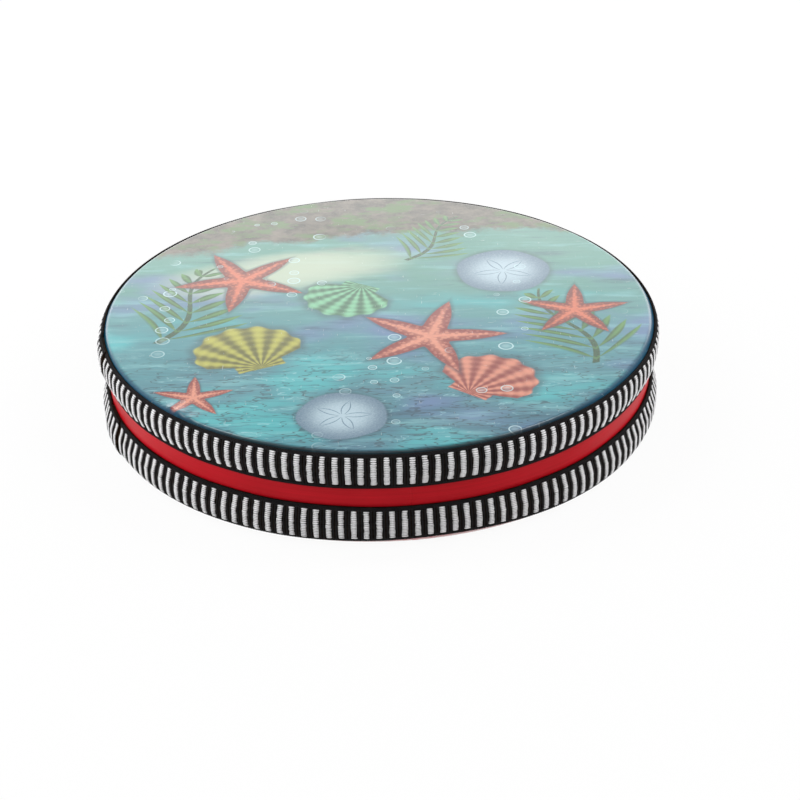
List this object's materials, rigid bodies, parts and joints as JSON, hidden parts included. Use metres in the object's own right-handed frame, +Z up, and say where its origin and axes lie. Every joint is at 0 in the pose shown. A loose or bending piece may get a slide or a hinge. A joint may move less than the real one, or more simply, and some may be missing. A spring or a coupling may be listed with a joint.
{
  "type": "ocean drum",
  "caption": "Shallow frame drum with a printed film head above, a clear film head below, woven ribbon round both rims and loose steel beads that wash to and fro inside",
  "frame": {"origin": "centre of the clear lower head, on the face the drum rests on", "axes": "+Z up through the printed head, -Y the front with the shell seam, +X to the right of the front"},
  "size_m": [0.2, 0.2, 0.035],
  "materials": {
    "red_lacquer": "satin red lacquer",
    "hoop_strip": "plain strip",
    "printed_film": "glossy print",
    "clear_film": "clear glossy film",
    "braid": "woven black and white braid",
    "steel": "polished balls"
  },
  "bodies": {
    "drum": {"shell": "red_lacquer", "top_flesh_hoop": "hoop_strip", "bottom_flesh_hoop": "hoop_strip", "top_head": "printed_film", "bottom_head": "clear_film", "top_ribbon": "braid", "bottom_ribbon": "braid"},
    "centre_bead": {"centre_bead": "steel"},
    "rim_beads": {"rim_beads": "steel"},
    "swash_beads_01": {"swash_beads_01": "steel"},
    "swash_beads_02": {"swash_beads_02": "steel"},
    "swash_beads_03": {"swash_beads_03": "steel"},
    "swash_beads_04": {"swash_beads_04": "steel"},
    "swash_beads_05": {"swash_beads_05": "steel"},
    "swash_beads_06": {"swash_beads_06": "steel"},
    "swash_beads_07": {"swash_beads_07": "steel"},
    "swash_beads_08": {"swash_beads_08": "steel"},
    "swash_beads_09": {"swash_beads_09": "steel"},
    "swash_beads_10": {"swash_beads_10": "steel"},
    "swash_beads_11": {"swash_beads_11": "steel"},
    "swash_beads_12": {"swash_beads_12": "steel"},
    "swash_beads_13": {"swash_beads_13": "steel"},
    "swash_beads_14": {"swash_beads_14": "steel"},
    "swash_beads_15": {"swash_beads_15": "steel"},
    "swash_beads_16": {"swash_beads_16": "steel"}
  },
  "joints": [
    {"name": "bead_drop", "type": "slide", "parent": "drum", "child": "centre_bead", "axis": [0, 0, 1], "range_m": [0, 0.0303]},
    {"name": "bead_swirl", "type": "hinge", "parent": "centre_bead", "child": "rim_beads", "pos_m": [0, 0, 0.00235], "axis": [0, 0, 1], "continuous": true},
    {"name": "swash_roll_01", "type": "slide", "parent": "rim_beads", "child": "swash_beads_01", "axis": [1, 0, 0], "range_m": [-0.08786, 0.05849]},
    {"name": "swash_roll_02", "type": "slide", "parent": "rim_beads", "child": "swash_beads_02", "axis": [1, 0, 0], "range_m": [-0.04034, 0.106]},
    {"name": "swash_roll_03", "type": "slide", "parent": "rim_beads", "child": "swash_beads_03", "axis": [1, 0, 0], "range_m": [-0.11416, 0.02836]},
    {"name": "swash_roll_04", "type": "slide", "parent": "rim_beads", "child": "swash_beads_04", "axis": [1, 0, 0], "range_m": [-0.06789, 0.07464]},
    {"name": "swash_roll_05", "type": "slide", "parent": "rim_beads", "child": "swash_beads_05", "axis": [1, 0, 0], "range_m": [-0.02062, 0.11534]},
    {"name": "swash_roll_06", "type": "slide", "parent": "rim_beads", "child": "swash_beads_06", "axis": [1, 0, 0], "range_m": [-0.09204, 0.04392]},
    {"name": "swash_roll_07", "type": "slide", "parent": "rim_beads", "child": "swash_beads_07", "axis": [1, 0, 0], "range_m": [-0.04449, 0.08179]},
    {"name": "swash_roll_08", "type": "slide", "parent": "rim_beads", "child": "swash_beads_08", "axis": [1, 0, 0], "range_m": [-0.11082, 0.01545]},
    {"name": "swash_roll_09", "type": "slide", "parent": "rim_beads", "child": "swash_beads_09", "axis": [1, 0, 0], "range_m": [-0.06238, 0.05043]},
    {"name": "swash_roll_10", "type": "slide", "parent": "rim_beads", "child": "swash_beads_10", "axis": [1, 0, 0], "range_m": [-0.02575, 0.08706]},
    {"name": "swash_roll_11", "type": "slide", "parent": "rim_beads", "child": "swash_beads_11", "axis": [1, 0, 0], "range_m": [-0.07106, 0.02323]},
    {"name": "swash_roll_12", "type": "slide", "parent": "rim_beads", "child": "swash_beads_12", "axis": [1, 0, 0], "range_m": [-0.04045, 0.05385]},
    {"name": "swash_roll_13", "type": "slide", "parent": "rim_beads", "child": "swash_beads_13", "axis": [1, 0, 0], "range_m": [-0.00706, 0.06062]},
    {"name": "swash_roll_14", "type": "slide", "parent": "rim_beads", "child": "swash_beads_14", "axis": [1, 0, 0], "range_m": [-0.04261, 0.02507]},
    {"name": "swash_roll_15", "type": "slide", "parent": "rim_beads", "child": "swash_beads_15", "axis": [1, 0, 0], "range_m": [-0.0061, 0.0139]},
    {"name": "swash_roll_16", "type": "slide", "parent": "rim_beads", "child": "swash_beads_16", "axis": [1, 0, 0], "range_m": [-0.01661, 0.0034]}
  ]
}
